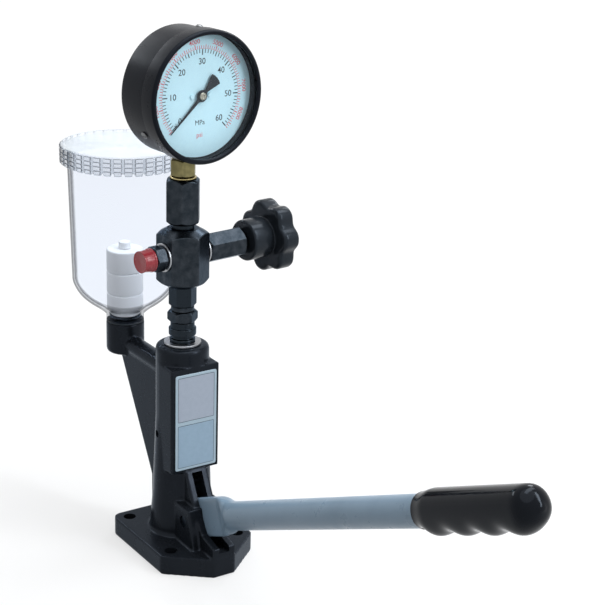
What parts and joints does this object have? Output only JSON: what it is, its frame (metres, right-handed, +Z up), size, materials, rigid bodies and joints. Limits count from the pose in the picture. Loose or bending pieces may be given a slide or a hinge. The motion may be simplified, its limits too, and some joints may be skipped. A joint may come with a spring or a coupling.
{
  "type": "diesel injector tester",
  "caption": "Hand-pumped diesel injector tester: cast stand, long pump lever, clear oil cup, hexagonal manifold with pressure gauge, capped outlet and shut-off valve knob.",
  "frame": {"origin": "pump axis where it meets the underside of the base plate", "axes": "+Z up along the pump axis, +X towards the lever's grip, +Y towards the shut-off valve (the head is turned 6.5 degrees from it), -X towards the oil cup"},
  "size_m": [0.5982, 0.1559, 0.4459],
  "materials": {
    "casting": "gloss black enamel over the casting",
    "label": "satin grey-blue film",
    "steel": "bright",
    "blackened": "oiled black oxide",
    "spring": "plain spring wire",
    "brass": "dull",
    "copper": "soft copper sealing ring",
    "plastic": "moulded, glossy black",
    "case": "satin black enamel on pressed steel",
    "glass": "clear flat window",
    "clear": "clear moulded plastic",
    "dial": "pale blue satin dial",
    "pointer": "matt black",
    "cap": "translucent red",
    "white": "white porous plastic",
    "lever": "satin grey-blue paint",
    "grip": "glossy black dipped vinyl",
    "rubber": "plain black"
  },
  "bodies": {
    "stand": {"base_casting": "casting", "label_plate": "label", "barrel_lock_screw": "blackened", "lever_pin": "blackened", "pump_barrel": "steel", "spring_seat": "steel", "plunger_spring": "spring", "delivery_valve_holder": "blackened", "delivery_valve_spring": "spring", "union_nut": "blackened", "manifold": "blackened", "gauge_adaptor": "blackened", "gauge_washer": "copper", "outlet_washer": "steel", "outlet_nipple": "blackened", "valve_washer": "steel", "valve_body": "blackened", "gland_nut": "blackened", "gauge_case": "case", "gauge_bezel": "case", "gauge_window": "glass", "gauge_dial": "dial", "dial_screw_1": "dial", "dial_screw_2": "dial", "case_screw_1": "steel", "case_screw_2": "steel", "case_screw_3": "steel", "gauge_stem": "brass", "bourdon_tube": "brass", "movement_frame": "brass", "cup_gasket": "rubber", "cup_nipple": "blackened", "oil_cup": "clear", "filter_body": "white", "filter_cap": "white"},
    "lever": {"lever": "lever", "lever_grip": "grip"},
    "plunger": {"tappet": "steel", "pump_plunger": "steel"},
    "delivery_valve": {"delivery_valve": "steel"},
    "valve_knob": {"hand_knob": "plastic", "valve_spindle": "steel", "knob_screw": "steel"},
    "needle": {"valve_needle": "steel"},
    "outlet_cap": {"outlet_cap": "cap"},
    "lid": {"cup_lid": "clear"},
    "pointer": {"gauge_pointer": "pointer", "pinion_shaft": "steel"},
    "sector": {"sector_gear": "brass"}
  },
  "joints": [
    {"name": "lever_pivot", "type": "hinge", "parent": "stand", "child": "lever", "pos_m": [0.033, 0, 0.03715], "axis": [0, 1, 0], "range_deg": [0, 20], "stiffness_Nm_per_rad": 6, "springref_deg": -28.65},
    {"name": "plunger_stroke", "type": "slide", "parent": "stand", "child": "plunger", "axis": [0, 0, 1], "range_m": [0, 0.01115], "deforming": ["plunger_spring"]},
    {"name": "delivery_valve_lift", "type": "slide", "parent": "stand", "child": "delivery_valve", "axis": [0, 0, 1], "range_m": [0, 0.0015], "stiffness_N_per_m": 200, "springref_m": -0.002, "deforming": ["delivery_valve_spring"]},
    {"name": "valve_turn", "type": "hinge", "parent": "stand", "child": "valve_knob", "pos_m": [0, 0, 0.2598], "axis": [-0.1132, 0.9936, 0], "range_deg": [0, 360]},
    {"name": "needle_lift", "type": "slide", "parent": "stand", "child": "needle", "axis": [-0.1132, 0.9936, 0], "range_m": [0, 0.0016]},
    {"name": "outlet_cap_pull", "type": "slide", "parent": "stand", "child": "outlet_cap", "axis": [0.1132, -0.9936, 0], "range_m": [0, 0.03]},
    {"name": "lid_lift", "type": "slide", "parent": "stand", "child": "lid", "axis": [0, 0, 1], "range_m": [0, 0.04]},
    {"name": "pointer_sweep", "type": "hinge", "parent": "stand", "child": "pointer", "pos_m": [0, 0, 0.3933], "axis": [-0.9936, -0.1132, 0], "range_deg": [0, 270], "stiffness_Nm_per_rad": 0.0002, "springref_deg": -5.73},
    {"name": "sector_swing", "type": "hinge", "parent": "stand", "child": "sector", "pos_m": [0, 0, 0.3754], "axis": [-0.9936, -0.1132, 0], "range_deg": [-47, 0]}
  ],
  "couplings": [
    {"joint": "plunger_stroke", "follows": "lever_pivot", "m_per_rad": 0.03183},
    {"joint": "needle_lift", "follows": "valve_turn", "m_per_rad": 0.00023873},
    {"joint": "sector_swing", "follows": "pointer_sweep", "ratio": -0.17333}
  ]
}
